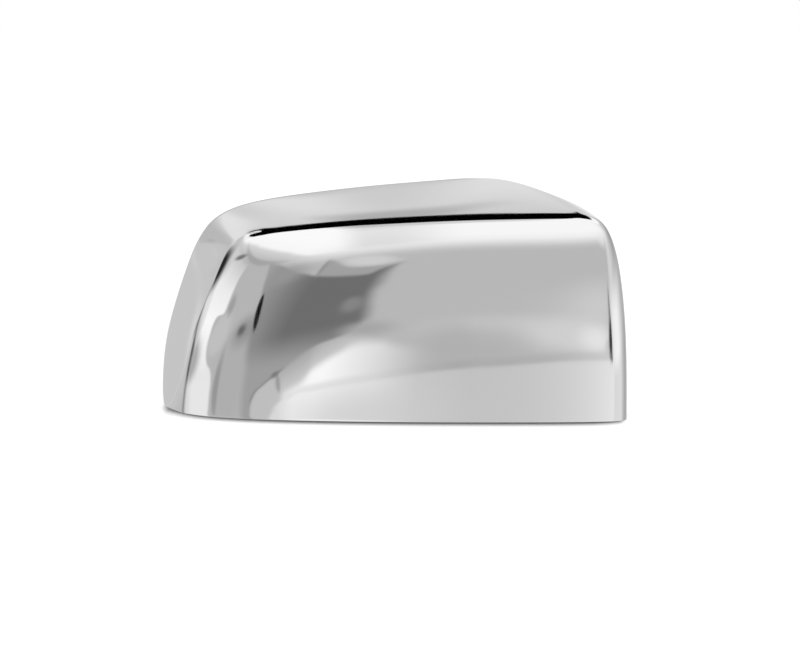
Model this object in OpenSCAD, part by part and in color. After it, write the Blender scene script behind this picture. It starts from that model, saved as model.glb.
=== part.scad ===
// Upper wing mirror cover: one thin plated shell, open at the back and along the foot,
// with foam tape stuck to its inner faces and a release liner on each length of tape.
// The outboard end is at -X, the inboard end at +X, the front faces -Y and the foot is at Z 0.

/* [Overall] */
// Width, from the outboard rim to the inboard side
cover_w = 263.5; // [220:0.5:310]
// Height, from the foot to the top of the rim
cover_h = 127.6; // [110:0.2:150]
// Depth, from the front of the face to the rear of the rim
cover_d = 84; // [72:1:110]

/* [Front face] */
// How far the ledge spreads past the face at the outboard foot
end_spread = 14.5; // [8:0.5:24]
// How far the ledge climbs from the top of the face to the rim
top_climb = 15; // [8:0.5:22]
// How far the outboard end of the face leans inwards as it rises
end_lean = 28.5; // [16:0.5:38]
// How far the top of the face falls towards the outboard corner
top_fall = 12; // [4:0.5:18]
// How far the inboard end of the face leans inwards as it rises
side_lean = 10.5; // [4:0.5:14]
// Distance from the inboard side to the line where the face is furthest forward
crown_in = 85; // [60:1:120]
// How far the face curls back at its outboard end
end_sweep = 28; // [16:0.5:36]
// How far the face leans back at its top
top_sweep = 23; // [14:0.5:30]
// How far the face turns back at its inboard end
side_sweep = 3; // [0:0.5:8]

/* [Ledge] */
// Depth of the rim at the inboard side
side_d = 32; // [28:0.5:44]
// Outward bow of the ledge where it is deepest
ledge_bow = 1.5; // [0:0.1:3]
// Setback of the rounded crease along the outboard end
round_end = 2.5; // [1.5:0.1:5]
// Setback of the rounded crease along the top
round_top = 3; // [1.5:0.1:5]
// Setback of the rounded crease down the inboard side
round_side = 8; // [4:0.1:9]

/* [Shell] */
// Wall thickness
wall = 2.5; // [1.5:0.1:3.5]
// Radius that breaks the edges of the rim and the foot
edge_r = 0.5; // [0.2:0.05:0.7]

/* [Tape] */
// Width of the foam tape
tape_w = 10; // [6:0.5:12]
// Thickness of the foam tape
tape_t = 1.1; // [0.5:0.1:2]
// Distance from the tape to the edge of the rim or the foot
tape_gap = 4; // [2:0.5:6]
// Thickness of the release liner
liner_t = 0.15; // [0.1:0.05:0.3]

/* [Hidden] */

// Cells across the face, up each of its sides, round the crease and along the ledge
cols = 42;
rows = 18;
round_rows = 4;
ledge_rows = 6;
band_rows = round_rows + ledge_rows;
stations = 2 * rows + cols;
// Step of a numerical slope
step = 0.01;

// Height of the face, and the X of its two lower corners and of its crown, from the outboard rim.
// Unrounded, the inboard corner would stand out of the cover's width by the corner excess.
corner_excess = 0.2;
face_h = cover_h - top_climb;
face_x0 = end_spread;
face_x1 = cover_w + corner_excess;
crown_x = cover_w - crown_in;

// Lengths over which the end's lean, the top's fall, the inboard turn and the bow come in full
lean_reach = 0.853 * face_h;
fall_reach = 0.86 * (face_x1 - face_x0);
turn_reach = 0.9 * crown_in;
bow_reach = 0.655 * cover_d;

function mix(a, b, t) = a + (b - a) * t;
function unit(v) = v / norm(v);
function ease(t) = let (c = min(max(t, 0), 1)) c * c * (3 - 2 * c);

// Point at place s on the smooth cubic curve that a cage of control points draws.
// The curve starts and ends on the cage's first and last points.
function curve_at(cage, s) =
    let (last = len(cage) - 1,
         n = min(floor(s), last - 1),
         f = s - n,
         before = n == 0 ? 2 * cage[0] - cage[1] : cage[n - 1],
         after = n + 1 == last ? 2 * cage[last] - cage[last - 1] : cage[n + 2])
    (pow(1 - f, 3) * before
        + (3 * pow(f, 3) - 6 * pow(f, 2) + 4) * cage[n]
        + (-3 * pow(f, 3) + 3 * pow(f, 2) + 3 * f + 1) * cage[n + 1]
        + pow(f, 3) * after) / 6;

// The three sides of the crease, seen from the front
function end_x(z) = face_x0 + end_lean * pow(max(z, 0) / lean_reach, 1.8);
function top_z(x) = face_h - top_fall * pow(max(face_x1 - x, 0) / fall_reach, 3);
function side_x(z) = face_x1 - side_lean * pow(max(z, 0) / face_h, 3);

// Control points of the crease, from the outboard foot over the top to the inboard foot
crease_cage = concat(
    [for (v = [0, 0.13, 0.32, 0.54, 0.74, 0.86]) [end_x(v * face_h), v * face_h]],
    [for (u = [0.17, 0.3, 0.44, 0.6, 0.74, 0.86, 0.945])
        let (x = mix(face_x0, face_x1, u)) [x, top_z(x)]],
    [for (v = [0.87, 0.68, 0.44, 0.22, 0]) [side_x(v * face_h), v * face_h]]);

// Control points of the rim in the same order: share of the cover's width, share of the way
// back from the inboard side's depth to the full depth, and share of the cover's height
rim_shares = [
    [0.009, 0.35, 0], [-0.001, 0.52, 0.035], [0, 0.81, 0.25], [0.021, 0.9, 0.42],
    [0.05, 0.96, 0.6], [0.089, 0.99, 0.8], [0.168, 0.99, 0.889], [0.318, 0.99, 0.934],
    [0.462, 0.99, 0.968], [0.607, 0.99, 0.991], [0.735, 1.01, 1.011], [0.83, 0.51, 0.962],
    [0.911, 0.17, 0.909], [0.964, 0.115, 0.827], [0.988, 0.07, 0.627],
    [0.996, 0.02, 0.407], [0.997, -0.02, 0.196], [0.997, -0.04, 0]
];
rim_cage = [for (c = rim_shares) [c[0] * cover_w, mix(side_d, cover_d, c[1]), c[2] * cover_h]];

// Places on the cages where the crease turns its outboard and inboard corners
corner_out = 5;
corner_in = 12.3;
cage_end = len(crease_cage) - 1;

// How far back the face lies at a point of the front view, and its slopes there
function face_y(x, z) =
    let (u = max(crown_x - x, 0) / (crown_x - end_x(z)),
         w = max(x - crown_x, 0) / turn_reach,
         v = max(z, 0) / top_z(x))
    end_sweep * (0.54 * pow(u, 2) + 0.46 * pow(u, 9))
        + side_sweep * pow(w, 4)
        + top_sweep * (0.74 * pow(v, 2) + 0.26 * pow(v, 6));
function face_point(p) = [p[0], face_y(p[0], p[1]), p[1]];
function slope_x(x, z) = (face_y(x + step, z) - face_y(x - step, z)) / (2 * step);
function slope_z(x, z) = (face_y(x, z + step) - face_y(x, z - step)) / (2 * step);
function face_normal(x, z) = unit([slope_x(x, z), -1, slope_z(x, z)]);

// Direction in the front view from the crease into the face
function inward_at(s) =
    let (a = curve_at(crease_cage, max(s - step, 0)),
         b = curve_at(crease_cage, min(s + step, cage_end)),
         d = unit(b - a))
    [d[1], -d[0]];

function crease_at(s) = face_point(curve_at(crease_cage, s));
function rim_at(s) = curve_at(rim_cage, s);
function setback_at(s) =
    mix(mix(round_end, round_top, ease((s - 4) / 3)), round_side, ease((s - 11.5) / 3));

// Point of the ledge at share t of the way from the crease to the rim
function ledge_at(s, t) =
    let (k = crease_at(s),
         r = rim_at(s),
         inward = inward_at(s),
         along = [-inward[1], 0, inward[0]],
         out = unit(cross(along, r - k)),
         middle = (k + r) / 2 + out * ledge_bow * norm(r - k) / bow_reach)
    pow(1 - t, 2) * k + 2 * t * (1 - t) * middle + pow(t, 2) * r;

// Shares of the ledge's way at which its rows lie: even rows, then the band that the tape takes
function ledge_shares(s) =
    let (way = norm(rim_at(s) - crease_at(s)),
         first = setback_at(s) / way,
         band_in = max(1 - (tape_gap + tape_w) / way, mix(first, 1, 0.35)),
         band_out = max(1 - tape_gap / way, mix(first, 1, 0.75)))
    concat([for (n = [0:ledge_rows - 2]) mix(first, band_in, n / (ledge_rows - 2))],
           [band_out, 1 - edge_r / way]);

// Direction in which the ledge runs out over the rim
function ledge_end_dir(s) = unit(ledge_at(s, 1) - ledge_at(s, 0.98));

// Points from the face over the rounded crease and along the ledge to the rim
function band_at(s) =
    let (d = setback_at(s),
         inward = inward_at(s),
         a = curve_at(crease_cage, s) + inward * d,
         start = face_point(a),
         rise = slope_x(a[0], a[1]) * inward[0] + slope_z(a[0], a[1]) * inward[1],
         start_dir = -unit([inward[0], rise, inward[1]]),
         shares = ledge_shares(s),
         end = ledge_at(s, shares[0]),
         end_dir = unit(ledge_at(s, shares[0] + step) - ledge_at(s, shares[0] - step)),
         k = crease_at(s),
         pull = 0.62,
         c1 = start + start_dir * norm(k - start) * pull,
         c2 = end - end_dir * norm(k - end) * pull)
    concat([for (n = [0:round_rows - 1]) let (t = n / round_rows)
                pow(1 - t, 3) * start + 3 * t * pow(1 - t, 2) * c1
                    + 3 * pow(t, 2) * (1 - t) * c2 + pow(t, 3) * end],
           [for (t = shares) ledge_at(s, t)]);

// Place on the crease at height z, found by halving between places a and b
function place_at(z, a, b, n = 22) =
    let (m = (a + b) / 2)
    n == 0 ? m
        : (curve_at(crease_cage, m)[1] - z) * (curve_at(crease_cage, a)[1] - z) > 0
            ? place_at(z, m, b, n - 1) : place_at(z, a, m, n - 1);

// Heights of the rows: the foot, the two edges of the foot's tape, then even rows to a corner
function row_z(j, top) =
    j == 0 ? 0 : j == 1 ? tape_gap
        : mix(tape_gap + tape_w, top, (j - 2) / (rows - 2));
out_top = curve_at(crease_cage, corner_out)[1];
in_top = curve_at(crease_cage, corner_in)[1];
places = concat(
    [for (j = [0:rows - 1]) j == 0 ? 0 : place_at(row_z(j, out_top), 0, corner_out)],
    [for (i = [0:cols - 1]) mix(corner_out, corner_in, i / cols)],
    [for (j = [rows:-1:0]) j == 0 ? cage_end
        : j == rows ? corner_in : place_at(row_z(j, in_top), corner_in, cage_end)]);

function is_foot(m) = m == 0 || m == stations;
band = [for (m = [0:stations])
    [for (p = band_at(places[m])) is_foot(m) ? [p[0], p[1], edge_r] : p]];

// The face is a grid of points spread evenly between its four edges
end_edge = [for (j = [0:rows]) [band[j][0][0], band[j][0][2]]];
top_edge = [for (i = [0:cols]) [band[rows + i][0][0], band[rows + i][0][2]]];
side_edge = [for (j = [0:rows]) [band[stations - j][0][0], band[stations - j][0][2]]];
function grid_point(i, j) =
    let (u = (top_edge[i][0] - top_edge[0][0]) / (top_edge[cols][0] - top_edge[0][0]),
         v = row_z(j, out_top) / out_top,
         foot = mix(end_edge[0], side_edge[0], u),
         flat = mix(mix(end_edge[0], side_edge[0], u), mix(top_edge[0], top_edge[cols], u), v))
    mix(foot, top_edge[i], v) + mix(end_edge[j], side_edge[j], u) - flat;

// Numbers of the points of one sheet: the face's grid first, then the bands round it
function face_id(i, j) = i * (rows + 1) + j;
face_count = (cols + 1) * (rows + 1);
function border_id(m) =
    m <= rows ? face_id(0, m)
        : m <= rows + cols ? face_id(m - rows, rows)
            : face_id(cols, stations - m);
function band_id(m, k) = k == 0 ? border_id(m) : face_count + m * band_rows + k - 1;

// Outward direction at a point of the sheet, kept level where the sheet meets the foot
function outward(n, level) = unit(level ? [n[0], n[1], 0] : n);
function band_normal(m, k) =
    let (across = band[m][min(k + 1, band_rows)] - band[m][k - 1],
         along = band[min(m + 1, stations)][k] - band[max(m - 1, 0)][k])
    outward(cross(along, across), is_foot(m));

face_points = [for (i = [0:cols]) for (j = [0:rows]) face_point(grid_point(i, j))];
face_normals = [for (i = [0:cols]) for (j = [0:rows])
    let (p = grid_point(i, j)) outward(face_normal(p[0], p[1]), j == 0)];
band_points = [for (m = [0:stations]) for (k = [1:band_rows]) band[m][k]];
band_normals = [for (m = [0:stations]) for (k = [1:band_rows]) band_normal(m, k)];
sheet = concat(face_points, band_points);
normals = concat(face_normals, band_normals);
count = len(sheet);

// The sheet moved into the shell by a depth
function sheet_at(depth) = [for (n = [0:count - 1]) sheet[n] - normals[n] * depth];

// Two triangles for each cell of a grid of point numbers
function cell_faces(ids, turned = false) =
    [for (a = [0:len(ids) - 2]) for (b = [0:len(ids[0]) - 2])
        let (p = ids[a][b], q = ids[a + 1][b], r = ids[a + 1][b + 1], s = ids[a][b + 1])
        each turned ? [[p, q, r], [p, r, s]] : [[p, r, q], [p, s, r]]];

// Rows of point numbers closed into rings, for the edge between two sheets
function ring_faces(rings) =
    let (n = len(rings[0]))
    [for (a = [0:len(rings) - 2]) for (b = [0:n - 1])
        let (p = rings[a][b], q = rings[a + 1][b],
             r = rings[a + 1][(b + 1) % n], s = rings[a][(b + 1) % n])
        each [[p, r, q], [p, s, r]]];

face_ids = [for (i = [0:cols]) [for (j = [0:rows]) face_id(i, j)]];
band_ids = [for (m = [0:stations]) [for (k = [0:band_rows]) band_id(m, k)]];
outer_faces = concat(cell_faces(face_ids), cell_faces(band_ids));

// Once round the open edge: outboard foot, along the foot, inboard foot and back over the rim
edge_ids = concat(
    [for (k = [band_rows:-1:1]) band_id(0, k)],
    [for (i = [0:cols]) face_id(i, 0)],
    [for (k = [1:band_rows]) band_id(stations, k)],
    [for (m = [stations - 1:-1:1]) band_id(m, band_rows)]);
foot_count = 2 * band_rows + cols + 1;
edge_dirs = concat(
    [for (n = [1:foot_count]) [0, 0, -1]],
    [for (m = [stations - 1:-1:1]) ledge_end_dir(places[m])]);

// The broken edge between the outer and the inner sheet, as four rings of points
function edge_ring(depth, out, drop) =
    [for (n = [0:len(edge_ids) - 1])
        let (id = edge_ids[n])
        sheet[id] - normals[id] * (depth + drop * edge_r) + edge_dirs[n] * out * edge_r];
half = sqrt(0.5);
edge_points = concat(
    edge_ring(0, half, 1 - half), edge_ring(0, 1, 1),
    edge_ring(wall, 1, -1), edge_ring(wall, half, half - 1));

shell_points = concat(sheet, edge_points, sheet_at(wall));
inner_start = count + len(edge_points);
ring_ids = concat(
    [edge_ids],
    [for (r = [0:3]) [for (n = [0:len(edge_ids) - 1]) count + r * len(edge_ids) + n]],
    [[for (id = edge_ids) id + inner_start]]);
shell_faces = concat(
    outer_faces,
    [for (f = outer_faces) [for (id = [f[0], f[2], f[1]]) id + inner_start]],
    ring_faces(ring_ids));

// The origin is in the middle of the cover's width and depth, on the surface it stands on
xs = [for (p = shell_points) p[0]];
ys = [for (p = shell_points) p[1]];
centre = [(min(xs) + max(xs)) / 2, (min(ys) + max(ys)) / 2, 0];

// Where the tapes lie: their first and last stations, and the cells of the foot's tape
end_stations = [2, rows - 2];
top_stations = [rows + 3, rows + 31];
side_stations = [stations - 11, stations - 1];
foot_cols = [3, cols - 3];
rim_band = [band_rows - 2, band_rows - 1];
tab_cells = 1;

function rim_ids(span, tab) =
    [for (m = [span[0] - tab:span[1]]) [for (k = rim_band) band_id(m, k)]];
function foot_ids(span, tab) =
    [for (i = [span[0]:span[1] + tab]) [for (j = [1, 2]) face_id(i, j)]];

// A layer of the given thickness over a grid of the sheet's points, depth inside the cover
module layer(ids, depth, thickness) {
    flat_ids = [for (row = ids) each row];
    n = len(flat_ids);
    long = len(ids);
    front = sheet_at(depth);
    back = sheet_at(depth + thickness);
    points = concat([for (id = flat_ids) front[id]], [for (id = flat_ids) back[id]]);
    grid = [for (a = [0:long - 1]) [2 * a, 2 * a + 1]];
    back_grid = [for (row = grid) [for (id = row) id + n]];
    loop = concat([for (a = [0:long - 1]) 2 * a], [for (a = [long - 1:-1:0]) 2 * a + 1]);
    rings = [loop, [for (id = loop) id + n]];
    polyhedron(points, concat(cell_faces(grid), cell_faces(back_grid, true), ring_faces(rings)));
}

module in_place() {
    translate(-centre) children();
}
module tape(ids) {
    color([0.3, 0.31, 0.33]) in_place() layer(ids, wall, tape_t);
}
module liner(ids) {
    color([0.72, 0.08, 0.07]) in_place() layer(ids, wall + tape_t, liner_t);
}

module cover_shell() {
    color([0.78, 0.79, 0.8]) in_place() polyhedron(shell_points, shell_faces, convexity = 6);
}
module tape_end() {
    tape(rim_ids(end_stations, 0));
}
module tape_top() {
    tape(rim_ids(top_stations, 0));
}
module tape_side() {
    tape(rim_ids(side_stations, 0));
}
module tape_foot() {
    tape(foot_ids(foot_cols, 0));
}
module liner_end() {
    liner(rim_ids(end_stations, tab_cells));
}
module liner_top() {
    liner(rim_ids(top_stations, tab_cells));
}
module liner_side() {
    liner(rim_ids(side_stations, tab_cells));
}
module liner_foot() {
    liner(foot_ids(foot_cols, tab_cells));
}

cover_shell();
tape_end();
tape_top();
tape_side();
tape_foot();
liner_end();
liner_top();
liner_side();
liner_foot();
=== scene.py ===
from math import cos, floor as whole, pi, radians, sin

import bmesh
import bpy
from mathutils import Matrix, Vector


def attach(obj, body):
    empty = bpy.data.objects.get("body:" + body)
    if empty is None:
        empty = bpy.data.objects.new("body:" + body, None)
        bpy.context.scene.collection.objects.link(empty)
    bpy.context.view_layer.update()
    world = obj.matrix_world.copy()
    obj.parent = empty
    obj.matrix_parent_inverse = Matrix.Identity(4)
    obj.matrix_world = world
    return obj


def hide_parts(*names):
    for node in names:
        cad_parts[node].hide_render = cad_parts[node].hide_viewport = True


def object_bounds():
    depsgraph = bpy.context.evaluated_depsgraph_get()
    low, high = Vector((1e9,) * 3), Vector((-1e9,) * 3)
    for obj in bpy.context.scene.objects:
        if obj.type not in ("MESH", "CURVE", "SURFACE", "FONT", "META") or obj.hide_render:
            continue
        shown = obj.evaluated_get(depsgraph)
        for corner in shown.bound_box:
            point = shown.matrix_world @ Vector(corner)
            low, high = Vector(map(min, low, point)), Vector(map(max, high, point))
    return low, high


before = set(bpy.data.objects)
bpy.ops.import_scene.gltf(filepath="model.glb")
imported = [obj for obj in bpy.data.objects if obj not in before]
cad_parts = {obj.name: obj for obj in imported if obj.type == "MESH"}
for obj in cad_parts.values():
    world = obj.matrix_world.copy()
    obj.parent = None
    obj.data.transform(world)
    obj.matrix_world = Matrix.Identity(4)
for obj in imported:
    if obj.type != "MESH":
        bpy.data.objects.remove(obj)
cad_low, cad_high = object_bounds()

# Sizes of the cover, in millimetres, as its source has them
MM = 0.001
COVER_W, COVER_H, COVER_D = 263.5, 127.6, 84.0
END_SPREAD, TOP_CLIMB, END_LEAN, TOP_FALL, SIDE_LEAN = 14.5, 15.0, 28.5, 12.0, 10.5
CROWN_IN, END_SWEEP, TOP_SWEEP, SIDE_SWEEP = 85.0, 28.0, 23.0, 3.0
SIDE_D, LEDGE_BOW, ROUND_END, ROUND_TOP, ROUND_SIDE = 32.0, 1.5, 2.5, 3.0, 8.0
WALL, EDGE_R = 2.5, 0.5
TAPE_W, TAPE_T, TAPE_GAP, LINER_T = 10.0, 1.1, 4.0, 0.15
CORNER_EXCESS = 0.2
# The finer surface here rises a little over the source's flat faces; this keeps it in their box
SNUG = 0.999

FACE_H = COVER_H - TOP_CLIMB
FACE_X0, FACE_X1 = END_SPREAD, COVER_W + CORNER_EXCESS
CROWN_X = COVER_W - CROWN_IN
# How far the end's lean, the top's fall, the side's turn and the ledge's bow reach
LEAN_REACH = 0.853 * FACE_H
FALL_REACH = 0.86 * (FACE_X1 - FACE_X0)
TURN_REACH = 0.9 * CROWN_IN
BOW_REACH = 0.655 * COVER_D
# Powers of the end's lean, the top's fall, the side's lean and the side's turn
LEAN_POWER, FALL_POWER, SIDE_POWER, TURN_POWER = 1.8, 3, 3, 4
# The face's bends towards the outboard end and the top, as shares and powers
END_BEND = ((0.54, 2), (0.46, 9))
TOP_BEND = ((0.74, 2), (0.26, 6))
# Places on the crease where its rounding starts to change to the top's and to the side's, and
# over how many places it does
TO_TOP, TO_SIDE, CHANGE = 4, 11.5, 3
# Pull of the rounding's control points towards the crease
ROUND_PULL = 0.62
# Where the ledge is shallow, the tape's rows lie between these shares of its depth
SHALLOW_IN, SHALLOW_OUT = 0.35, 0.75
# Step over which slopes and directions are taken, and how often a search halves its span
STEP, HALVINGS = 0.01, 30

# The source's columns and rows across the face, each cut finer here
FINE = 3
COLS, ROWS = 42 * FINE, 18 * FINE
STATIONS = 2 * ROWS + COLS
ROUND_ROWS = 12
LEDGE_ROWS, TAPE_ROWS, RIM_ROWS = 14, 4, 2
TAPE_START = ROUND_ROWS + LEDGE_ROWS


def mix(a, b, t):
    return a + (b - a) * t


def ease(t):
    c = min(max(t, 0.0), 1.0)
    return c * c * (3 - 2 * c)


def curve_at(cage, s):
    """Point at place s on the smooth cubic curve that a cage of control points draws."""
    last = len(cage) - 1
    n = min(int(whole(s)), last - 1)
    f = s - n
    before = 2 * cage[0] - cage[1] if n == 0 else cage[n - 1]
    after = 2 * cage[last] - cage[last - 1] if n + 1 == last else cage[n + 2]
    return ((1 - f) ** 3 * before
            + (3 * f ** 3 - 6 * f ** 2 + 4) * cage[n]
            + (-3 * f ** 3 + 3 * f ** 2 + 3 * f + 1) * cage[n + 1]
            + f ** 3 * after) / 6


def end_x(z):
    """Outboard edge of the face at a height."""
    return FACE_X0 + END_LEAN * (max(z, 0.0) / LEAN_REACH) ** LEAN_POWER


def top_z(x):
    """Top edge of the face."""
    return FACE_H - TOP_FALL * (max(FACE_X1 - x, 0.0) / FALL_REACH) ** FALL_POWER


def side_x(z):
    """Inboard edge of the face at a height."""
    return FACE_X1 - SIDE_LEAN * (max(z, 0.0) / FACE_H) ** SIDE_POWER


def crease_cage_points():
    """Points round the face from the outboard foot over the top to the inboard foot."""
    cage = [Vector((end_x(v * FACE_H), v * FACE_H)) for v in (0, 0.13, 0.32, 0.54, 0.74, 0.86)]
    for u in (0.17, 0.3, 0.44, 0.6, 0.74, 0.86, 0.945):
        x = mix(FACE_X0, FACE_X1, u)
        cage.append(Vector((x, top_z(x))))
    cage += [Vector((side_x(v * FACE_H), v * FACE_H)) for v in (0.87, 0.68, 0.44, 0.22, 0)]
    return cage


CREASE_CAGE = crease_cage_points()
# The rim: shares of the width, of the way from SIDE_D to COVER_D, and of the height
RIM_SHARES = (
    (0.009, 0.35, 0), (-0.001, 0.52, 0.035), (0, 0.81, 0.25), (0.021, 0.9, 0.42),
    (0.05, 0.96, 0.6), (0.089, 0.99, 0.8), (0.168, 0.99, 0.889), (0.318, 0.99, 0.934),
    (0.462, 0.99, 0.968), (0.607, 0.99, 0.991), (0.735, 1.01, 1.011), (0.83, 0.51, 0.962),
    (0.911, 0.17, 0.909), (0.964, 0.115, 0.827), (0.988, 0.07, 0.627),
    (0.996, 0.02, 0.407), (0.997, -0.02, 0.196), (0.997, -0.04, 0),
)
RIM_CAGE = [Vector((a * COVER_W, mix(SIDE_D, COVER_D, b), c * COVER_H)) for a, b, c in RIM_SHARES]
# Places on the crease where the top meets the outboard end and the inboard side
CORNER_OUT, CORNER_IN = 5, 12.3
CAGE_END = len(CREASE_CAGE) - 1


def bend(shares, t):
    return sum(share * t ** power for share, power in shares)


def face_y(x, z):
    """How far back the face lies at a point of the front view."""
    u = max(CROWN_X - x, 0.0) / (CROWN_X - end_x(z))
    w = max(x - CROWN_X, 0.0) / TURN_REACH
    v = max(z, 0.0) / top_z(x)
    return (END_SWEEP * bend(END_BEND, u) + SIDE_SWEEP * w ** TURN_POWER
            + TOP_SWEEP * bend(TOP_BEND, v))


def face_point(p):
    return Vector((p.x, face_y(p.x, p.y), p.y))


def inward_at(s):
    """Direction in the front view from the crease into the face."""
    a = curve_at(CREASE_CAGE, max(s - STEP, 0))
    b = curve_at(CREASE_CAGE, min(s + STEP, CAGE_END))
    d = (b - a).normalized()
    return Vector((d.y, -d.x))


def ledge_at(s, t):
    """Point of the ledge at share t of the way from the crease to the rim."""
    k = face_point(curve_at(CREASE_CAGE, s))
    r = curve_at(RIM_CAGE, s)
    inward = inward_at(s)
    out = Vector((-inward.y, 0, inward.x)).cross(r - k).normalized()
    middle = (k + r) / 2 + out * (LEDGE_BOW * (r - k).length / BOW_REACH)
    return (1 - t) ** 2 * k + 2 * t * (1 - t) * middle + t ** 2 * r


def setback_at(s):
    """How far in from the crease its rounding starts."""
    outboard = mix(ROUND_END, ROUND_TOP, ease((s - TO_TOP) / CHANGE))
    return mix(outboard, ROUND_SIDE, ease((s - TO_SIDE) / CHANGE))


def ledge_shares(first, way):
    """Even rows along the ledge, then the rows under the tape, then the rows out to the rim."""
    band_in = max(1 - (TAPE_GAP + TAPE_W) / way, mix(first, 1, SHALLOW_IN))
    band_out = max(1 - TAPE_GAP / way, mix(first, 1, SHALLOW_OUT))
    return ([mix(first, band_in, n / LEDGE_ROWS) for n in range(LEDGE_ROWS)]
            + [mix(band_in, band_out, n / TAPE_ROWS) for n in range(TAPE_ROWS)]
            + [mix(band_out, 1, n / RIM_ROWS) for n in range(RIM_ROWS + 1)])


def band_at(s):
    """Points from the face over the rounded crease and along the ledge to the rim."""
    d = setback_at(s)
    inward = inward_at(s)
    a = curve_at(CREASE_CAGE, s) + inward * d
    start = face_point(a)
    slope_x = (face_y(a.x + STEP, a.y) - face_y(a.x - STEP, a.y)) / (2 * STEP)
    slope_z = (face_y(a.x, a.y + STEP) - face_y(a.x, a.y - STEP)) / (2 * STEP)
    rise = slope_x * inward.x + slope_z * inward.y
    start_dir = -Vector((inward.x, rise, inward.y)).normalized()
    k = face_point(curve_at(CREASE_CAGE, s))
    way = (curve_at(RIM_CAGE, s) - k).length
    first = d / way
    end = ledge_at(s, first)
    end_dir = (ledge_at(s, first + STEP) - ledge_at(s, first - STEP)).normalized()
    c1 = start + start_dir * ((k - start).length * ROUND_PULL)
    c2 = end - end_dir * ((k - end).length * ROUND_PULL)
    rounded = []
    for n in range(ROUND_ROWS):
        t = n / ROUND_ROWS
        rounded.append((1 - t) ** 3 * start + 3 * t * (1 - t) ** 2 * c1
                       + 3 * t ** 2 * (1 - t) * c2 + t ** 3 * end)
    return rounded + [ledge_at(s, t) for t in ledge_shares(first, way)]


def place_at(z, a, b):
    """Place on the crease at height z, found by halving between places a and b."""
    for _ in range(HALVINGS):
        m = (a + b) / 2
        if (curve_at(CREASE_CAGE, m).y - z) * (curve_at(CREASE_CAGE, a).y - z) > 0:
            a = m
        else:
            b = m
    return (a + b) / 2


def row_z(j, top):
    """Heights of the rows: the foot, the foot's tape, then even rows up to a corner."""
    n = j / FINE
    if n <= 1:
        return TAPE_GAP * n
    if n <= 2:
        return TAPE_GAP + TAPE_W * (n - 1)
    return mix(TAPE_GAP + TAPE_W, top, (n - 2) / (ROWS / FINE - 2))


OUT_TOP = curve_at(CREASE_CAGE, CORNER_OUT).y
IN_TOP = curve_at(CREASE_CAGE, CORNER_IN).y
PLACES = ([0] + [place_at(row_z(j, OUT_TOP), 0, CORNER_OUT) for j in range(1, ROWS)]
          + [mix(CORNER_OUT, CORNER_IN, i / COLS) for i in range(COLS + 1)]
          + [place_at(row_z(j, IN_TOP), CORNER_IN, CAGE_END) for j in range(ROWS - 1, 0, -1)]
          + [CAGE_END])
BAND = [band_at(s) for s in PLACES]


def seen(p):
    """A point as the front view has it."""
    return Vector((p.x, p.z))


def grid_point(i, j):
    """Point of the face's grid in the front view, spread evenly between its four edges."""
    left, right, top = seen(BAND[j][0]), seen(BAND[STATIONS - j][0]), seen(BAND[ROWS + i][0])
    low_left, low_right = seen(BAND[0][0]), seen(BAND[STATIONS][0])
    top_left, top_right = seen(BAND[ROWS][0]), seen(BAND[ROWS + COLS][0])
    u = (top.x - top_left.x) / (top_right.x - top_left.x)
    v = row_z(j, OUT_TOP) / OUT_TOP
    foot = mix(low_left, low_right, u)
    flat = mix(foot, mix(top_left, top_right, u), v)
    return mix(foot, top, v) + mix(left, right, u) - flat


def placed(p):
    """A point of the cover in millimetres from its outboard rim, as a place in the scene."""
    return Vector((cad_low.x, cad_low.y, 0)) + p * (SNUG * MM)


def only(obj):
    bpy.ops.object.select_all(action="DESELECT")
    obj.select_set(True)
    bpy.context.view_layer.objects.active = obj


def start_edit(obj, mode="FACE"):
    only(obj)
    bpy.ops.object.mode_set(mode="EDIT")
    bpy.ops.mesh.select_mode(type=mode)
    bpy.ops.mesh.select_all(action="DESELECT")
    return bmesh.from_edit_mesh(obj.data)


def end_edit():
    bpy.ops.object.mode_set(mode="OBJECT")


def pick(bm, mesh, kind, wanted):
    """Select in edit mode what wanted says yes to."""
    for item in getattr(bm, kind):
        item.select_set(bool(wanted(item)))
    bm.select_flush_mode()
    bmesh.update_edit_mesh(mesh)


def apply_modifier(obj, kind, **settings):
    only(obj)
    made = obj.modifiers.new(kind.lower(), kind)
    for key, value in settings.items():
        setattr(made, key, value)
    bpy.ops.object.modifier_apply(modifier=made.name)


def smooth(obj, angle):
    only(obj)
    bpy.ops.object.shade_smooth_by_angle(angle=radians(angle))


# What each point of the sheet remembers: its place along the border, its row beyond the crease,
# and its column and line in the face
MARKS = ("station", "band_row", "column", "line")


def marks_of(bm):
    return [bm.verts.layers.int[name] for name in MARKS]


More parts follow.
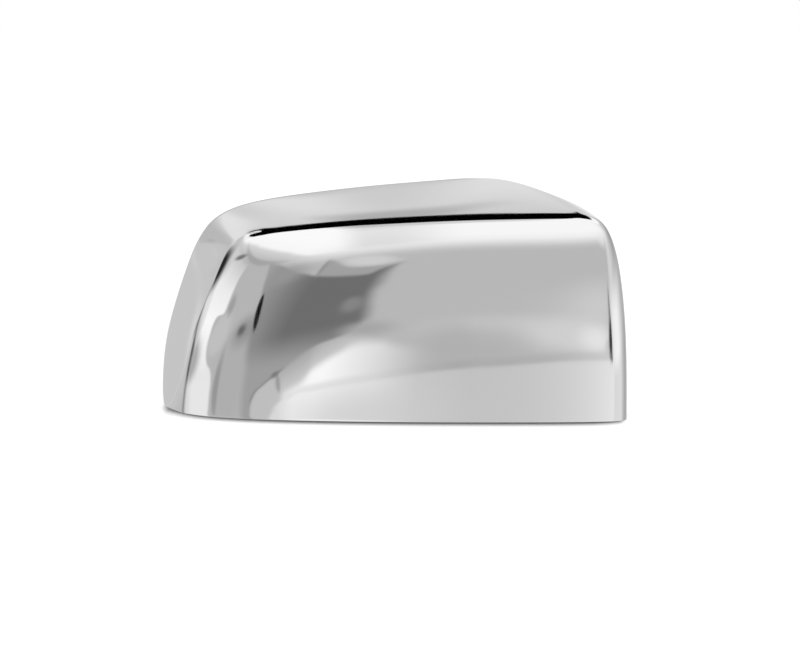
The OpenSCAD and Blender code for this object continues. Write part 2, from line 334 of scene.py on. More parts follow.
def press_sheet():
    """Press a flat grid into the face and draw its border out over the crease to the rim."""
    bpy.ops.object.select_all(action="DESELECT")
    centre = placed(Vector((COVER_W / 2, 0, FACE_H / 2)))
    bpy.ops.mesh.primitive_grid_add(x_subdivisions=COLS, y_subdivisions=ROWS, size=1,
                                    location=centre, rotation=(radians(90), 0, 0),
                                    scale=(COVER_W * MM, FACE_H * MM, 1))
    sheet = bpy.context.object
    sheet.name = sheet.data.name = "cover"
    mesh = sheet.data
    for name in MARKS:
        mesh.attributes.new(name, "INT", "POINT")
    station, _, column, line = (mesh.attributes[name].data for name in MARKS)
    across = [v.co.x for v in mesh.vertices]
    up = [v.co.y for v in mesh.vertices]
    x0, x1, y0, y1 = min(across), max(across), min(up), max(up)
    only(sheet)
    bpy.ops.object.transform_apply(location=True, rotation=True, scale=True)
    for n, v in enumerate(mesh.vertices):
        i = round((across[n] - x0) / (x1 - x0) * COLS)
        j = round((up[n] - y0) / (y1 - y0) * ROWS)
        v.co = placed(face_point(grid_point(i, j)))
        column[n].value, line[n].value = i, j
        border = j if i == 0 else ROWS + i if j == ROWS else STATIONS - j if i == COLS else -1
        station[n].value = border
    bm = start_edit(sheet, "EDGE")
    at = marks_of(bm)[0]

    def on_crease(e):
        a, b = (v[at] for v in e.verts)
        return a >= 0 and b >= 0 and abs(a - b) == 1

    pick(bm, mesh, "edges", on_crease)
    for k in range(1, len(BAND[0])):
        bpy.ops.mesh.extrude_edges_move()
        bm = bmesh.from_edit_mesh(mesh)
        at, row, col, _ = marks_of(bm)
        for v in bm.verts:
            if v.select:
                v.co = placed(BAND[v[at]][k])
                v[row] = k
                v[col] = -1
        bmesh.update_edit_mesh(mesh)
    end_edit()
    return sheet


def cut_strip(sheet, name, wanted):
    """Copy the faces that a strip lies behind into a piece of its own."""
    bm = start_edit(sheet)
    marks = marks_of(bm)
    pick(bm, sheet.data, "faces", lambda f: all(wanted(*(v[m] for m in marks)) for v in f.verts))
    bpy.ops.mesh.duplicate()
    bpy.ops.mesh.separate(type="SELECTED")
    end_edit()
    strip = [o for o in bpy.context.selected_objects if o != sheet][0]
    strip.name = strip.data.name = name
    return strip


def drop_marks(obj):
    for name in MARKS:
        obj.data.attributes.remove(obj.data.attributes[name])


def lay_strip(strip, depth, thickness, edge):
    """Sink a copied strip into the cover by a depth, and give it its thickness."""
    start_edit(strip)
    bpy.ops.mesh.select_all(action="SELECT")
    bpy.ops.transform.shrink_fatten(value=-depth * MM, use_even_offset=True)
    end_edit()
    drop_marks(strip)
    apply_modifier(strip, "SOLIDIFY", thickness=thickness * MM, offset=-1,
                   use_even_offset=True, use_quality_normals=True)
    apply_modifier(strip, "BEVEL", width=edge * MM, segments=2, limit_method="ANGLE",
                   angle_limit=radians(50))
    smooth(strip, angle=35)


def flatten_foot(shell, mode, kind, wanted):
    """Press what is wanted down onto the floor."""
    bm = start_edit(shell, mode)
    pick(bm, shell.data, kind, wanted)
    bpy.ops.transform.resize(value=(1, 1, 0), center_override=(0, 0, 0))
    end_edit()


def thicken_shell(shell):
    """Give the sheet its wall, stand it flat on its foot and break its edges."""
    apply_modifier(shell, "SOLIDIFY", thickness=WALL * MM, offset=-1, use_even_offset=True,
                   use_quality_normals=True, material_offset=1, material_offset_rim=0)
    foot_top, level = 1 * MM, 0.7
    flatten_foot(shell, "FACE", "faces",
                 lambda f: abs(f.normal.z) > level and f.calc_center_median().z < foot_top)
    flatten_foot(shell, "VERT", "verts", lambda v: v.co.z < 0)
    apply_modifier(shell, "BEVEL", width=EDGE_R * MM, segments=3, limit_method="ANGLE",
                   angle_limit=radians(60))
    smooth(shell, angle=50)


def finish_material(name):
    made = bpy.data.materials.new(name)
    made.use_nodes = True
    tree = made.node_tree
    shader = tree.nodes["Principled BSDF"]
    coords = tree.nodes.new("ShaderNodeTexCoord")
    return made, tree, shader, coords.outputs["Object"]


def noise_of(tree, vector, scale, detail):
    n = tree.nodes.new("ShaderNodeTexNoise")
    n.inputs["Scale"].default_value = scale
    n.inputs["Detail"].default_value = detail
    tree.links.new(vector, n.inputs["Vector"])
    return n.outputs["Fac"]


# A noise keeps nearly all its values between these
NOISE_LOW, NOISE_HIGH = 0.3, 0.7


def spread(tree, value, low, high):
    """Stretch a noise over a range."""
    n = tree.nodes.new("ShaderNodeMapRange")
    for name, number in (("From Min", NOISE_LOW), ("From Max", NOISE_HIGH),
                         ("To Min", low), ("To Max", high)):
        n.inputs[name].default_value = number
    tree.links.new(value, n.inputs["Value"])
    return n.outputs["Result"]


def ramp_of(tree, value, low, high, first, second):
    """Colour that goes from the first at a low value to the second at a high one."""
    n = tree.nodes.new("ShaderNodeValToRGB")
    for dot, at, colour in zip(n.color_ramp.elements, (low, high), (first, second)):
        dot.position, dot.color = at, (*colour, 1)
    tree.links.new(value, n.inputs["Fac"])
    return n.outputs["Color"]


def bump_of(tree, height, shader, strength, distance):
    n = tree.nodes.new("ShaderNodeBump")
    n.inputs["Strength"].default_value = strength
    n.inputs["Distance"].default_value = distance
    tree.links.new(height, n.inputs["Height"])
    tree.links.new(n.outputs["Normal"], shader.inputs["Normal"])


# How much of the light the chrome gives back; the studio's greys allow for it
CHROME_TONE = 0.9


def chrome():
    made, tree, shader, here = finish_material("bright_chrome")
    shader.inputs["Base Color"].default_value = (CHROME_TONE, CHROME_TONE, CHROME_TONE, 1)
    shader.inputs["Metallic"].default_value = 1
    wipes = noise_of(tree, here, scale=60, detail=3)
    tree.links.new(spread(tree, wipes, low=0.035, high=0.06), shader.inputs["Roughness"])
    return made


def dull_plating():
    made, tree, shader, here = finish_material("dull_plating")
    shader.inputs["Metallic"].default_value = 1
    shader.inputs["Base Color"].default_value = (0.62, 0.63, 0.64, 1)
    clouds = noise_of(tree, here, scale=30, detail=4)
    tree.links.new(spread(tree, clouds, low=0.3, high=0.46), shader.inputs["Roughness"])
    grain = noise_of(tree, here, scale=1800, detail=3)
    bump_of(tree, grain, shader, strength=0.25, distance=0.0001)
    return made


def foam():
    made, tree, shader, here = finish_material("foam_tape")
    shader.inputs["Roughness"].default_value = 0.95
    cells = tree.nodes.new("ShaderNodeTexVoronoi")
    cells.inputs["Scale"].default_value = 2200
    tree.links.new(here, cells.inputs["Vector"])
    tone = ramp_of(tree, cells.outputs["Distance"], 0, 1, (0.018, 0.018, 0.02), (0.05, 0.05, 0.054))
    tree.links.new(tone, shader.inputs["Base Color"])
    bump_of(tree, cells.outputs["Distance"], shader, strength=0.5, distance=0.0002)
    return made


def liner_film():
    made, tree, shader, here = finish_material("liner_film")
    shader.inputs["Roughness"].default_value = 0.28
    haze = noise_of(tree, here, scale=90, detail=3)
    red = ramp_of(tree, haze, NOISE_LOW, NOISE_HIGH, (0.5, 0.022, 0.02), (0.58, 0.032, 0.028))
    tree.links.new(red, shader.inputs["Base Color"])
    ripples = noise_of(tree, here, scale=260, detail=1)
    bump_of(tree, ripples, shader, strength=0.25, distance=0.0004)
    return made


class Studio:
    """What the chrome sees: soft cards and lights laid over each other, placed by direction.

    Directions are degrees of azimuth and elevation, or degrees across and back from the zenith.
    """

    def __init__(self, tree):
        self.tree = tree
        coords = tree.nodes.new("ShaderNodeTexCoord")
        split = tree.nodes.new("ShaderNodeSeparateXYZ")
        tree.links.new(coords.outputs["Generated"], split.inputs[0])
        x, y, z = split.outputs
        self.az = self.math("MULTIPLY", self.math("ARCTAN2", x, self.math("MULTIPLY", y, -1)),
                            180 / pi)
        self.el = self.math("MULTIPLY", self.math("ARCSINE", z), 180 / pi)
        level = self.math("SQRT", self.math("ADD", self.math("MULTIPLY", x, x),
                                            self.math("MULTIPLY", y, y)))
        from_top = self.minus(90, self.el)
        share = self.math("DIVIDE", from_top, level)
        self.top_x = self.math("MULTIPLY", x, share)
        self.top_y = self.math("MULTIPLY", y, share)
        self.front = self.pair(self.az, self.el)
        self.top = self.pair(self.top_x, self.top_y)
        self.tone = 1.0

    def feed(self, socket, value):
        if isinstance(value, (int, float)):
            socket.default_value = value
        else:
            self.tree.links.new(value, socket)

    def math(self, kind, a, b=0.0, c=0.0):
        n = self.tree.nodes.new("ShaderNodeMath")
        n.operation = kind
        for socket, value in zip(n.inputs, (a, b, c)):
            self.feed(socket, value)
        return n.outputs[0]

    def minus(self, a, b):
        return self.math("SUBTRACT", a, b)

    def pair(self, a, b):
        n = self.tree.nodes.new("ShaderNodeCombineXYZ")
        self.feed(n.inputs[0], a)
        self.feed(n.inputs[1], b)
        return n.outputs[0]

    def fade(self, value, start, stop):
        """0 at start, 1 at stop, smooth in between; start may be above stop."""
        n = self.tree.nodes.new("ShaderNodeMapRange")
        n.interpolation_type = "SMOOTHSTEP"
        low, high = min(start, stop), max(start, stop)
        ends = (0.0, 1.0) if start < stop else (1.0, 0.0)
        for name, v in (("Value", value), ("From Min", low), ("From Max", high),
                        ("To Min", ends[0]), ("To Max", ends[1])):
            self.feed(n.inputs[name], v)
        return n.outputs["Result"]

    def all_of(self, *masks):
        made = masks[0]
        for m in masks[1:]:
            made = self.math("MULTIPLY", made, m)
        return made

    def oval(self, centre, radii, tilt=0.0, soft=0.3, on=None):
        """Soft edged oval card, on the front view's directions or on those round the zenith."""
        n = self.tree.nodes.new("ShaderNodeMapping")
        n.vector_type = "TEXTURE"
        n.inputs["Location"].default_value = (*centre, 0)
        n.inputs["Rotation"].default_value = (0, 0, radians(tilt))
        n.inputs["Scale"].default_value = (*radii, 1)
        self.tree.links.new(on or self.front, n.inputs["Vector"])
        length = self.tree.nodes.new("ShaderNodeVectorMath")
        length.operation = "LENGTH"
        self.tree.links.new(n.outputs[0], length.inputs[0])
        return self.fade(length.outputs["Value"], 1 + soft, 1 - soft)

    def share_of(self, value, low, high):
        n = self.tree.nodes.new("ShaderNodeMapRange")
        self.feed(n.inputs["Value"], value)
        n.inputs["From Min"].default_value = low
        n.inputs["From Max"].default_value = high
        return n.outputs["Result"]

    def edge(self, value, points):
        """A smooth line through a few points: for each value, the place of a card's edge."""
        lows = [p[0] for p in points]
        outs = [p[1] for p in points]
        low, high, bottom, top = min(lows), max(lows), min(outs), max(outs)
        n = self.tree.nodes.new("ShaderNodeFloatCurve")
        line = n.mapping.curves[0]
        while len(line.points) < len(points):
            line.points.new(0.5, 0.5)
        for dot, (a, b) in zip(line.points, sorted(points)):
            dot.location = ((a - low) / (high - low), (b - bottom) / (top - bottom))
            dot.handle_type = "AUTO_CLAMPED"
        n.mapping.update()
        self.tree.links.new(self.share_of(value, low, high), n.inputs["Value"])
        return self.math("MULTIPLY_ADD", n.outputs["Value"], top - bottom, bottom)

    def shading(self, value, stops):
        """Grey that changes with a value, from a few stops."""
        low, high = stops[0][0], stops[-1][0]
        n = self.tree.nodes.new("ShaderNodeValToRGB")
        dots = n.color_ramp.elements
        while len(dots) < len(stops):
            dots.new(0.5)
        for dot, (at, _) in zip(dots, stops):
            dot.position = (at - low) / (high - low)
        for dot, (_, grey) in zip(dots, stops):
            dot.color = (*[glow_of(grey)] * 3, 1)
        self.tree.links.new(self.share_of(value, low, high), n.inputs["Fac"])
        return n.outputs["Color"]

    def blend(self, mask, a, b):
        n = self.tree.nodes.new("ShaderNodeMix")
        self.feed(n.inputs[0], mask)
        self.feed(n.inputs[2], a)
        self.feed(n.inputs[3], b)
        return n.outputs[0]

    def lay(self, mask, grey, strength=1.0):
        """Lay a card or light over what is there. A plain number is its grey in the chrome."""
        if strength != 1.0:
            mask = self.math("MULTIPLY", mask, strength)
        glow = glow_of(grey) if isinstance(grey, (int, float)) else grey
        self.tone = self.blend(mask, self.tone, glow)


def glow_of(grey):
    """How bright a card is for the chrome to show it as this grey, of 255."""
    c = grey / 255
    light = c / 12.92 if c <= 0.04045 else ((c + 0.055) / 1.055) ** 2.4
    return light / CHROME_TONE


def hang_softbox(s):
    """Overhead softbox over a curved lower edge, with a grey patch towards the ceiling card."""
    az, el = s.az, s.el
    lower = s.edge(az, ((-115, 38), (-105, 40.6), (-95, 43.8), (-80, 46.4), (-65, 47.2),
                        (-50, 46.3), (-37, 43.6), (-28, 41.8), (-20, 41.6), (30, 41.6)))
    above = s.minus(el, lower)
    left = s.shading(above, ((-7, 180), (-4.6, 186), (-0.9, 210), (0.6, 246), (6, 250)))
    right = s.shading(above, ((-34, 183), (-6.5, 183), (-4.4, 192), (0.6, 238), (4, 246)))
    s.tone = s.blend(s.fade(az, -36, -20), left, right)
    patch = s.shading(el, ((42, 217), (52, 226), (62, 194), (72, 178)))
    s.lay(s.all_of(s.fade(s.top_x, -20, -14.5), s.fade(s.top_x, 0, -13), s.fade(el, 39, 44)),
          patch, 0.95)
    s.lay(s.oval((-4, -19), (8, 13), 0, 0.35, s.top), 200, 0.8)
    s.lay(s.oval((-69, 41.5), (24, 1.1), -1, 0.5), 160, 0.9)


def hang_end_light(s):
    """Bright light at the outboard end, with what stands before it."""
    az, el = s.az, s.el
    inner = s.edge(el, ((-12, -58.5), (-4, -57), (0, -57), (3, -57.8), (6, -60.5), (8, -65.5),
                        (12, -70.5), (17, -73.5), (21, -75), (22.7, -72), (23.5, -67.5),
                        (26, -68.5), (29, -70.5), (32, -72.5), (35, -74.5), (38, -75.5), (40, -76)))
    glow = s.shading(el, ((-10, 216), (-3, 218), (20, 248), (30, 234), (41, 186)))
    bright = s.blend(s.all_of(s.fade(az, -84, -76), s.fade(el, 6, 1)), glow, glow_of(230))
    s.lay(s.all_of(s.fade(s.minus(inner, az), -1.6, 1.6), s.fade(el, 40.5, 38)), bright)
    s.lay(s.oval((-88.5, 8), (11.5, 6.6), 0, 0.45), 170)
    s.lay(s.oval((-99, 17), (7, 6), 0, 0.8), 220)
    s.lay(s.oval((-63, 17), (9, 6.5), 0, 0.35), 191)
    s.lay(s.oval((-63.5, 26), (4.2, 2.2), -38, 0.6), 158)
    s.lay(s.oval((-42, 2), (10, 16), 0, 0.5), 172, 0.8)
    s.lay(s.oval((-51.8, 0), (2.4, 11), 0, 0.6), 150)
    s.lay(s.oval((-93.8, 38.7), (6, 1), 20, 0.6), 118)


def hang_dark_card(s):
    """Dark card before the outboard end, the half tone over it and the black rod beside it."""
    az, el = s.az, s.el
    right = s.edge(el, ((-12, -28.3), (-6, -28), (-3, -26.6), (-0.8, -24), (1.4, -21), (3.3, -18.8),
                        (4.9, -17.3), (6.5, -15.9), (7.6, -14.7), (8.2, -13.4),
                        (9, -12.2), (10.2, -11.1), (11.6, -10.7), (14.5, -10.8), (18, -11.3),
                        (25, -11.7), (29, -11.2), (32, -10)))
    left = s.edge(el, ((-10, -32), (4, -32.5), (8, -34), (14, -36), (18, -37), (22, -38.6),
                       (26, -40.3), (30, -42.8), (36, -47), (40, -51)))
    softness = s.fade(el, 19, 13)
    top = s.edge(az, ((-60, 42.2), (-50, 41), (-46, 40.3), (-40, 38.7), (-32, 34.9), (-26, 32.3),
                      (-24.2, 31.2), (-20, 29.4), (-16, 28.2), (-14, 27.9), (-12.5, 29.3),
                      (-11, 30.9), (-9, 33)))
    half_top = s.edge(az, ((-30, 38), (-23.2, 37.4), (-21, 36), (-14, 31.6), (-12, 32), (-9, 33.8)))
    s.lay(s.all_of(s.fade(s.minus(half_top, el), -0.7, 0.7), s.fade(az, -23.7, -23),
                   s.fade(az, -9.6, -11.2), s.fade(el, 20, 24)), 160)
    grey = s.shading(az, ((-48, 158), (-31, 133), (-22.3, 108), (-12, 108)))
    grey = s.blend(s.fade(el, 13, 2.5), grey, glow_of(157))
    within = s.minus(right, az)
    s.lay(s.all_of(s.fade(within, -1.3, 1.1), s.fade(s.minus(top, el), -0.8, 0.8),
                   s.blend(softness, s.fade(s.minus(az, left), -1, 0.8),
                           s.fade(s.minus(az, left), -3, 2))), grey)
    s.lay(s.all_of(s.fade(within, -0.3, 0.3), s.fade(within, 1.3, 0.7), s.fade(el, -7, -4),
                   s.fade(el, 3.5, 1.8)), 130)
    s.lay(s.oval((-15.2, 34.5), (4.8, 2.2), -22, 0.5), 204)
    s.lay(s.oval((-35, 34), (7, 3.6), 0, 0.8), 150, 0.9)
    s.lay(s.oval((-23.1, 34), (0.5, 3.4), 5, 0.6), 146)
    s.lay(s.oval((-13.2, 17.3), (1.2, 2.2), 5, 0.6), 136, 0.9)
    s.lay(s.oval((-41, 16.5), (7, 4), 0, 0.8), 138, 0.8)
    s.lay(s.oval((-37.5, 21.6), (1.25, 6.8), 24, 0.15), 0)
    s.lay(s.oval((-43.4, 16.9), (2.5, 1.6), -10, 0.7), 102)
    return right


def lay_lit_floor(s, card_right):
    """Floor in front, its horizon, and the bright pool that runs up from the card's corner."""
    az, el = s.az, s.el
    past_card = s.minus(az, card_right)
    pool_edge = s.edge(az, ((-20, -4), (-18, -2.9), (-16, -1.3), (-15, 1.3), (-13.7, 3),
                            (-12, 4.9), (-11, 6), (-9, 6.5), (-6, 5), (-3, 4)))
    over_pool = s.minus(el, pool_edge)
    horizon = s.edge(az, ((-22, -6.5), (-17.4, -5), (-16, -4), (-14, -3.5), (-12, -2.9), (-8, -2),
                          (-6, -1.5), (-3, -0.8), (1, -0.2), (4, 0.5), (10, 0.9), (16, 0.8),
                          (23, 0.6)))
    over_floor = s.minus(el, horizon)
    half_tone = s.shading(over_pool, ((0, 201), (7, 170)))
    s.lay(s.all_of(s.fade(past_card, -0.5, 0.5), s.fade(az, -8.6, -10.6), s.fade(el, 13, 11),
                   s.fade(az, -21, -20.2)), half_tone)
    s.lay(s.oval((-10, 9.8), (2.6, 1.6), -10, 0.8), 166)
    s.lay(s.oval((17, 12), (9, 7), 0, 0.9), 203, 0.9)
    s.lay(s.oval((13, 5.7), (13, 3.8), -10, 0.6), 207)
    s.lay(s.oval((16.2, 5), (4.4, 2.4), -12, 0.8), 226)
    s.lay(s.oval((-0.5, 4.5), (3.6, 4.5), 0, 0.6), 175, 0.9)
    pool = s.shading(az, ((-19, 226), (-15, 248), (-13.4, 249), (-8, 218), (-4, 184), (-2, 178)))
    s.lay(s.all_of(s.fade(over_pool, 1.5, -1.5), s.fade(az, -19.6, -18.4), s.fade(az, -2, -4)),
          pool)
    haze = s.shading(az, ((-20, 205), (-17, 226), (-10, 217), (-8, 211), (-3, 174), (0, 167),
                          (20, 203)))
    s.lay(s.all_of(s.fade(over_floor, 2.4, 0.9), s.fade(az, -19.5, -17.5)), haze, 0.9)
    lit = s.shading(az, ((-20, 216), (-17, 236), (-14, 239), (-8, 223), (-4, 199), (1, 193),
                         (23, 228)))
    s.lay(s.all_of(s.fade(over_floor, 0.45, -0.35), s.fade(past_card, 0, 1)), lit)
    s.lay(s.oval((-8.5, -9.5), (7, 5), 10, 0.8), 203, 0.7)
    near = s.edge(el, ((-11, -22.2), (-7, -20.6), (-4.5, -19.6), (-3, -20.2), (0, -20.9), (2, -21)))
    s.lay(s.all_of(s.fade(past_card, -0.5, 0.5), s.fade(el, 2.2, 1.2),
                   s.fade(s.minus(near, az), -0.7, 0.7)), 190)
    s.lay(s.oval((-20.4, -0.9), (0.45, 2.5), 14, 0.5), 150)
    s.lay(s.oval((-21.6, 1.4), (0.9, 0.7), 40, 0.6), 120)


def hang_side_wall(s):
    """Wall at the inboard side, with the thin dark strip before it."""
    az, el = s.az, s.el
    s.lay(s.oval((20.4, 3.4), (1.2, 1.6), 0, 0.8), 198)
    s.lay(s.oval((20.95, 10.5), (0.55, 8), 1.5, 0.5), 90, 0.8)
    s.lay(s.oval((21.15, 5.2), (0.75, 4.2), 1, 0.35), 28)
    s.lay(s.oval((21.7, 1.1), (1.1, 0.5), -45, 0.7), 75)
    middle = s.shading(az, ((21, 226), (41, 240), (60, 239), (104, 184), (132, 170), (175, 225)))
    high = s.shading(az, ((21, 188), (30, 206), (39, 211), (99, 160), (119, 157), (150, 168),
                          (170, 200)))
    low = s.shading(az, ((21, 231), (31, 215), (71, 219), (103, 174), (115, 166), (130, 168),
                         (167, 225)))
    upper = s.shading(az, ((22, 240), (39, 234), (73, 201), (97, 188), (110, 192)))
    wall = s.blend(s.fade(el, 8, 20), middle, high)
    wall = s.blend(s.fade(el, 1.5, -3.5), wall, low)
    wall = s.blend(s.fade(el, 33, 47), wall, upper)
    s.lay(s.all_of(s.fade(az, 21.8, 29), s.fade(el, 64, 54)), wall)
    s.lay(s.oval((21.4, 39.5), (1.3, 4), 0, 0.9), 230, 0.7)


def hang_end_wall(s):
    """Wall beyond the outboard end, with the dark card and the dark gap seen in the crease."""
    az, el = s.az, s.el
    lowest = s.shading(az, ((-128, 193), (-122, 182), (-110, 142), (-106, 144), (-98, 198),
                            (-92, 210)))
    low = s.shading(az, ((-131, 196), (-122, 170), (-109, 84), (-106, 86), (-98, 158),
                         (-90, 204)))
    crest = s.shading(az, ((-128, 150), (-116, 104), (-111, 96), (-107, 106), (-98, 160),
                           (-94, 172)))
    high = s.shading(az, ((-131, 186), (-128, 180), (-110, 198), (-98, 192)))
    top = s.shading(el, ((14, 216), (17, 223), (26, 222), (35, 190), (38, 200), (40, 240),
                         (60, 250)))
    wall = s.blend(s.fade(el, -1.5, 3), lowest, low)
    wall = s.blend(s.fade(el, 3.5, 6.5), wall, crest)
    wall = s.blend(s.fade(el, 8.5, 12), wall, high)
    wall = s.blend(s.fade(el, 12, 17), wall, top)
    edge = s.edge(el, ((-12, -90), (0, -92), (20, -98), (35, -106), (60, -116)))
    s.lay(s.fade(s.minus(edge, az), -1, 4), wall)
    s.lay(s.oval((-114, 27), (11, 4.4), 20, 0.9), 112, 0.9)
    s.lay(s.oval((-119.5, 24.8), (10.5, 5.2), 37, 0.6), 36)


def hang_back_wall(s):
    """Room behind the cover, that the ledge sees."""
    az, el = s.az, s.el
    back = s.shading(el, ((-10, 236), (34, 219), (44, 200)))
    edge = s.edge(el, ((-12, -128), (-3, -131), (5, -132.8), (9, -132.3), (12, -131), (16, -129.8),
                       (20, -129), (28, -126), (34, -125), (38, -128), (41, -136), (44, -150),
                       (60, -175)))
    beside = s.minus(edge, az)
    behind = s.fade(beside, -0.4, 0.6)
    s.lay(s.all_of(s.fade(beside, -4.5, -3), s.fade(beside, 0.5, -0.5), s.fade(el, 4.5, 7.5),
                   s.fade(el, 16.5, 14.5)), 122)
    s.lay(s.math("MAXIMUM", behind, s.fade(az, 150, 166)), back)
    s.lay(s.all_of(behind, s.fade(az, -150, -144), s.fade(el, 31, 27)), 195)
    shade_line = s.edge(el, ((12, -133.8), (14, -132.8), (16.2, -131.7), (18.1, -130.8),
                             (20.5, -129.9), (24, -128.8), (32, -127)))
    s.lay(s.all_of(behind, s.fade(s.minus(shade_line, az), -0.3, 0.3), s.fade(el, 12.5, 14.5),
                   s.fade(el, 31, 27)), 183)
    s.lay(s.all_of(s.oval((-131.3, 18.6), (0.5, 1.8), -24, 0.7), behind), 173)
    s.lay(s.all_of(s.oval((-132.7, 4.7), (1.2, 3.8), 17, 1), behind), 216)
    s.lay(s.all_of(s.oval((-144, 34), (13, 6), 0, 1), behind), 226, 0.8)
    s.lay(s.oval((-160, 33), (6, 5), 0, 0.8), 200, 0.8)
    s.lay(s.oval((-4.3, 58.8), (2.7, 7), 0, 0.8, s.top), 198, 0.8)
    s.lay(s.oval((-4.6, 50.8), (4.6, 1.6), 0, 0.6, s.top), 170, 0.9)
    s.lay(s.oval((170.5, 31), (4, 9), 0, 0.8), 203, 0.8)


def hang_black_ceiling(s):
    """Black card above and behind, drawn round the zenith."""
    x, y = s.top_x, s.top_y
    far = s.edge(x, ((-43, 20.5), (-38, 25.3), (-35, 25.2), (-33, 25.6), (-31, 27.5), (-29, 31),
                     (-27.5, 35), (-26, 41), (-22, 44), (-18, 45), (-14, 46.8), (-6, 49.5),
                     (-2, 49), (0, 48.2), (1.1, 47.2), (2.6, 46.1), (3.7, 46.3), (4.6, 47.2),
                     (6, 49.4), (7.3, 51.6), (9, 53.6), (11, 49), (13, 37), (16, 20), (19, 11)))
    near = s.edge(x, ((-43, 14.5), (-40, 11), (-38, 8.5), (-34, 6.5), (-30, 4), (-26, 1), (-22, -1),
                      (-18, -4), (-14, -6), (-10, -11), (-5, -12.5), (0, -13), (2, -13.5), (5, -14),
                      (7, -12), (9.6, -6.5), (12, -7.5), (19, -7)))
    s.lay(s.oval((-34.5, 31), (4, 3.6), -40, 0.5, s.top), 186, 0.9)
    s.lay(s.oval((-27.6, 40.5), (7.6, 1.3), 21, 0.4, s.top), 88)
    s.lay(s.all_of(s.fade(s.minus(far, y), -0.5, 0.5), s.fade(s.minus(y, near), -2, 2),
                   s.fade(x, 19.5, 15.5), s.fade(x, -44, -41.5)), 0)


def hang_studio(tree):
    s = Studio(tree)
    hang_softbox(s)
    hang_end_light(s)
    card_right = hang_dark_card(s)
    lay_lit_floor(s, card_right)
    hang_side_wall(s)
    hang_end_wall(s)
    hang_back_wall(s)
    hang_black_ceiling(s)
    return s.tone


# Strength of the plain white room for rays that don't come from the camera
ROOM_LIGHT = 0.75


def light_world():
    world = bpy.data.worlds.new("white_studio")
    bpy.context.scene.world = world
    world.use_nodes = True
    tree = world.node_tree
    tree.nodes.clear()
    rays = tree.nodes.new("ShaderNodeLightPath")
    room = tree.nodes.new("ShaderNodeBackground")
    room.inputs["Color"].default_value = (1, 1, 1, 1)
    level = tree.nodes.new("ShaderNodeMath")
    level.operation = "MULTIPLY_ADD"
    level.inputs[1].default_value = 1 - ROOM_LIGHT
    level.inputs[2].default_value = ROOM_LIGHT
    tree.links.new(rays.outputs["Is Camera Ray"], level.inputs[0])
    tree.links.new(level.outputs[0], room.inputs["Strength"])
    cards = tree.nodes.new("ShaderNodeBackground")
    tree.links.new(hang_studio(tree), cards.inputs["Color"])
    choose = tree.nodes.new("ShaderNodeMixShader")
    tree.links.new(rays.outputs["Is Glossy Ray"], choose.inputs[0])
    tree.links.new(room.outputs[0], choose.inputs[1])
    tree.links.new(cards.outputs[0], choose.inputs[2])
    out = tree.nodes.new("ShaderNodeOutputWorld")
    tree.links.new(choose.outputs[0], out.inputs["Surface"])


FLOOR_RADIUS, FLOOR_CORNERS = 4, 96
# How much light the floor gives back, and how far it glows by itself in the camera's view
FLOOR_BOUNCE, FLOOR_GLOW = 0.8, 0.3
# The contact shadow: how open the floor is and the tone it then has, how far it looks, and with
# how many rays
CONTACT_TONES = ((0.53, 0.05), (0.63, 0.17), (0.72, 0.48), (0.8, 0.76), (0.88, 0.9), (1, 1))
CONTACT_REACH, CONTACT_RAYS = 0.025, 16
# Between these distances from the middle it gives way to plain white, by this share
ENDS_FROM, ENDS_TO, ENDS_SHARE = 0.126, 0.133, 0.9


def floor_tone(tree):
    """Tone of the floor: white, with a painted contact shadow close under the cover."""
    near = tree.nodes.new("ShaderNodeAmbientOcclusion")
    near.samples = CONTACT_RAYS
    near.inputs["Distance"].default_value = CONTACT_REACH
    contact = tree.nodes.new("ShaderNodeValToRGB")
    dots = contact.color_ramp.elements
    dots[0].position, dots[1].position = CONTACT_TONES[0][0], CONTACT_TONES[-1][0]
    for at, _ in CONTACT_TONES[1:-1]:
        dots.new(at)
    for dot, (_, tone) in zip(dots, CONTACT_TONES):
        dot.color = (tone, tone, tone, 1)
    tree.links.new(near.outputs["AO"], contact.inputs["Fac"])
    coords = tree.nodes.new("ShaderNodeTexCoord")
    split = tree.nodes.new("ShaderNodeSeparateXYZ")
    tree.links.new(coords.outputs["Object"], split.inputs[0])
    aside = tree.nodes.new("ShaderNodeMath")
    aside.operation = "ABSOLUTE"
    tree.links.new(split.outputs["X"], aside.inputs[0])
    beyond = tree.nodes.new("ShaderNodeMapRange")
    beyond.interpolation_type = "SMOOTHSTEP"
    for name, number in (("From Min", ENDS_FROM), ("From Max", ENDS_TO), ("To Max", ENDS_SHARE)):
        beyond.inputs[name].default_value = number
    tree.links.new(aside.outputs[0], beyond.inputs["Value"])
    fading = tree.nodes.new("ShaderNodeMix")
    fading.data_type = "RGBA"
    share, shaded, bare = fading.inputs[0], fading.inputs[6], fading.inputs[7]
    tree.links.new(beyond.outputs["Result"], share)
    tree.links.new(contact.outputs["Color"], shaded)
    bare.default_value = (1, 1, 1, 1)
    return fading.outputs[2]


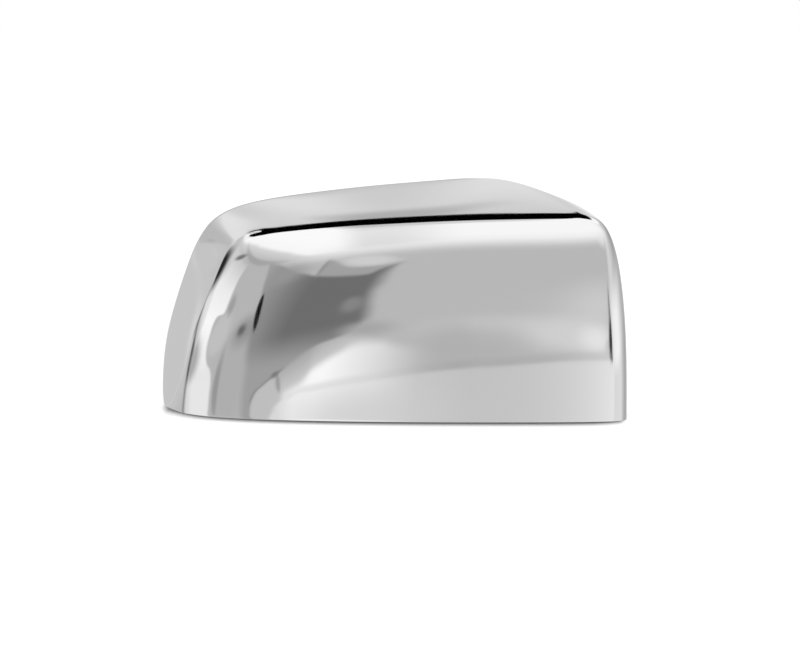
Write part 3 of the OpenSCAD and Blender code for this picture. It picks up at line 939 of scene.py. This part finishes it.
def white_floor():
    """Floor the camera sees with its painted shadow, and that only bounces light otherwise."""
    made = bpy.data.materials.new("white_floor")
    made.use_nodes = True
    tree = made.node_tree
    tree.nodes.clear()
    rays = tree.nodes.new("ShaderNodeLightPath")
    bounce = tree.nodes.new("ShaderNodeBsdfDiffuse")
    bounce.inputs["Color"].default_value = (FLOOR_BOUNCE, FLOOR_BOUNCE, FLOOR_BOUNCE, 1)
    lit = tree.nodes.new("ShaderNodeBsdfDiffuse")
    own = tree.nodes.new("ShaderNodeEmission")
    own.inputs["Strength"].default_value = FLOOR_GLOW
    tone = floor_tone(tree)
    tree.links.new(tone, lit.inputs["Color"])
    tree.links.new(tone, own.inputs["Color"])
    both = tree.nodes.new("ShaderNodeAddShader")
    tree.links.new(lit.outputs[0], both.inputs[0])
    tree.links.new(own.outputs[0], both.inputs[1])
    choose = tree.nodes.new("ShaderNodeMixShader")
    tree.links.new(rays.outputs["Is Camera Ray"], choose.inputs[0])
    tree.links.new(bounce.outputs[0], choose.inputs[1])
    tree.links.new(both.outputs[0], choose.inputs[2])
    out = tree.nodes.new("ShaderNodeOutputMaterial")
    tree.links.new(choose.outputs[0], out.inputs["Surface"])
    return made


def lay_floor():
    bpy.ops.object.select_all(action="DESELECT")
    bpy.ops.mesh.primitive_circle_add(vertices=FLOOR_CORNERS, radius=FLOOR_RADIUS,
                                      fill_type="NGON")
    ground = bpy.context.object
    ground.name = "studio_floor"
    ground.visible_glossy = False
    ground.data.materials.append(white_floor())


# The lamp in front: its width in metres and its watts, and where it hangs, in metres aside and
# away from the origin, and how high up as an angle
LAMP_SIZE, LAMP_ENERGY = 1.2, 9
LAMP_ASIDE, LAMP_AWAY, LAMP_RISE = 0.1, 1.6, radians(52)


def hang_lamp():
    lamp = bpy.data.lights.new("front_softbox", "AREA")
    lamp.shape = "DISK"
    lamp.size = LAMP_SIZE
    lamp.energy = LAMP_ENERGY
    holder = bpy.data.objects.new("front_softbox", lamp)
    bpy.context.scene.collection.objects.link(holder)
    holder.location = Vector((LAMP_ASIDE, -LAMP_AWAY * cos(LAMP_RISE), LAMP_AWAY * sin(LAMP_RISE)))
    holder.rotation_euler = (-holder.location).to_track_quat("-Z", "Y").to_euler()
    holder.visible_glossy = False
    holder.visible_camera = False


# The photograph's view: lens and film in millimetres, how near and far it sees in metres, its
# rise and distance in metres, and the point aimed at, in millimetres from the outboard rim
LENS, FILM_W = 130, 36
NEAREST, FARTHEST = 0.05, 50
CAMERA_RISE, CAMERA_AWAY = radians(9), 1.594
AIM_ACROSS, AIM_UP = 136.7, 50.8


def place_camera():
    lens = bpy.data.cameras.new("camera")
    lens.lens = LENS
    lens.sensor_width = FILM_W
    lens.clip_start, lens.clip_end = NEAREST, FARTHEST
    camera = bpy.data.objects.new("camera", lens)
    bpy.context.scene.collection.objects.link(camera)
    aim = Vector((cad_low.x + AIM_ACROSS * MM, cad_low.y, AIM_UP * MM))
    back = Vector((0, -cos(CAMERA_RISE), sin(CAMERA_RISE)))
    camera.location = aim + back * CAMERA_AWAY
    camera.rotation_euler = (-back).to_track_quat("-Z", "Y").to_euler()
    bpy.context.scene.camera = camera


def give(obj, node, material):
    obj.data.materials.append(material)
    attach(obj, "root")
    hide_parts(node)


# The strips' first and last places along the border, and how many columns of the face the foot's
# stay in from both ends, as the source counts them
STRIP_SPANS = {"end": (2, 16), "top": (21, 49),
               "side": (STATIONS // FINE - 11, STATIONS // FINE - 1)}
FOOT_INSET = 3
# Widths of the strips' broken edges, in millimetres
TAPE_EDGE, LINER_EDGE = 0.15, 0.03


def behind_strip(place, tab):
    """Test for the sheet's points that a strip lies behind; a tab adds columns at one end."""
    if place == "foot":
        first, last = FOOT_INSET * FINE, COLS - (FOOT_INSET - tab) * FINE
        return lambda station, band_row, column, line: (
            first <= column <= last and FINE <= line <= 2 * FINE)
    first, last = STRIP_SPANS[place]
    first, last = (first - tab) * FINE, last * FINE
    return lambda station, band_row, column, line: (
        first <= station <= last and TAPE_START <= band_row <= TAPE_START + TAPE_ROWS)


bpy.context.scene.view_settings.view_transform = "Standard"
place_camera()
light_world()
lay_floor()
hang_lamp()

cover = press_sheet()
foam_finish, film_finish = foam(), liner_film()
for place in ("end", "top", "side", "foot"):
    tape = cut_strip(cover, f"tape_{place}_strip", behind_strip(place, 0))
    lay_strip(tape, WALL, TAPE_T, TAPE_EDGE)
    give(tape, f"tape_{place}", foam_finish)
    liner = cut_strip(cover, f"liner_{place}_strip", behind_strip(place, 1))
    lay_strip(liner, WALL + TAPE_T, LINER_T, LINER_EDGE)
    give(liner, f"liner_{place}", film_finish)
drop_marks(cover)
cover.name = cover.data.name = "chrome_cover"
cover.data.materials.append(chrome())
cover.data.materials.append(dull_plating())
thicken_shell(cover)
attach(cover, "root")
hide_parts("cover_shell")
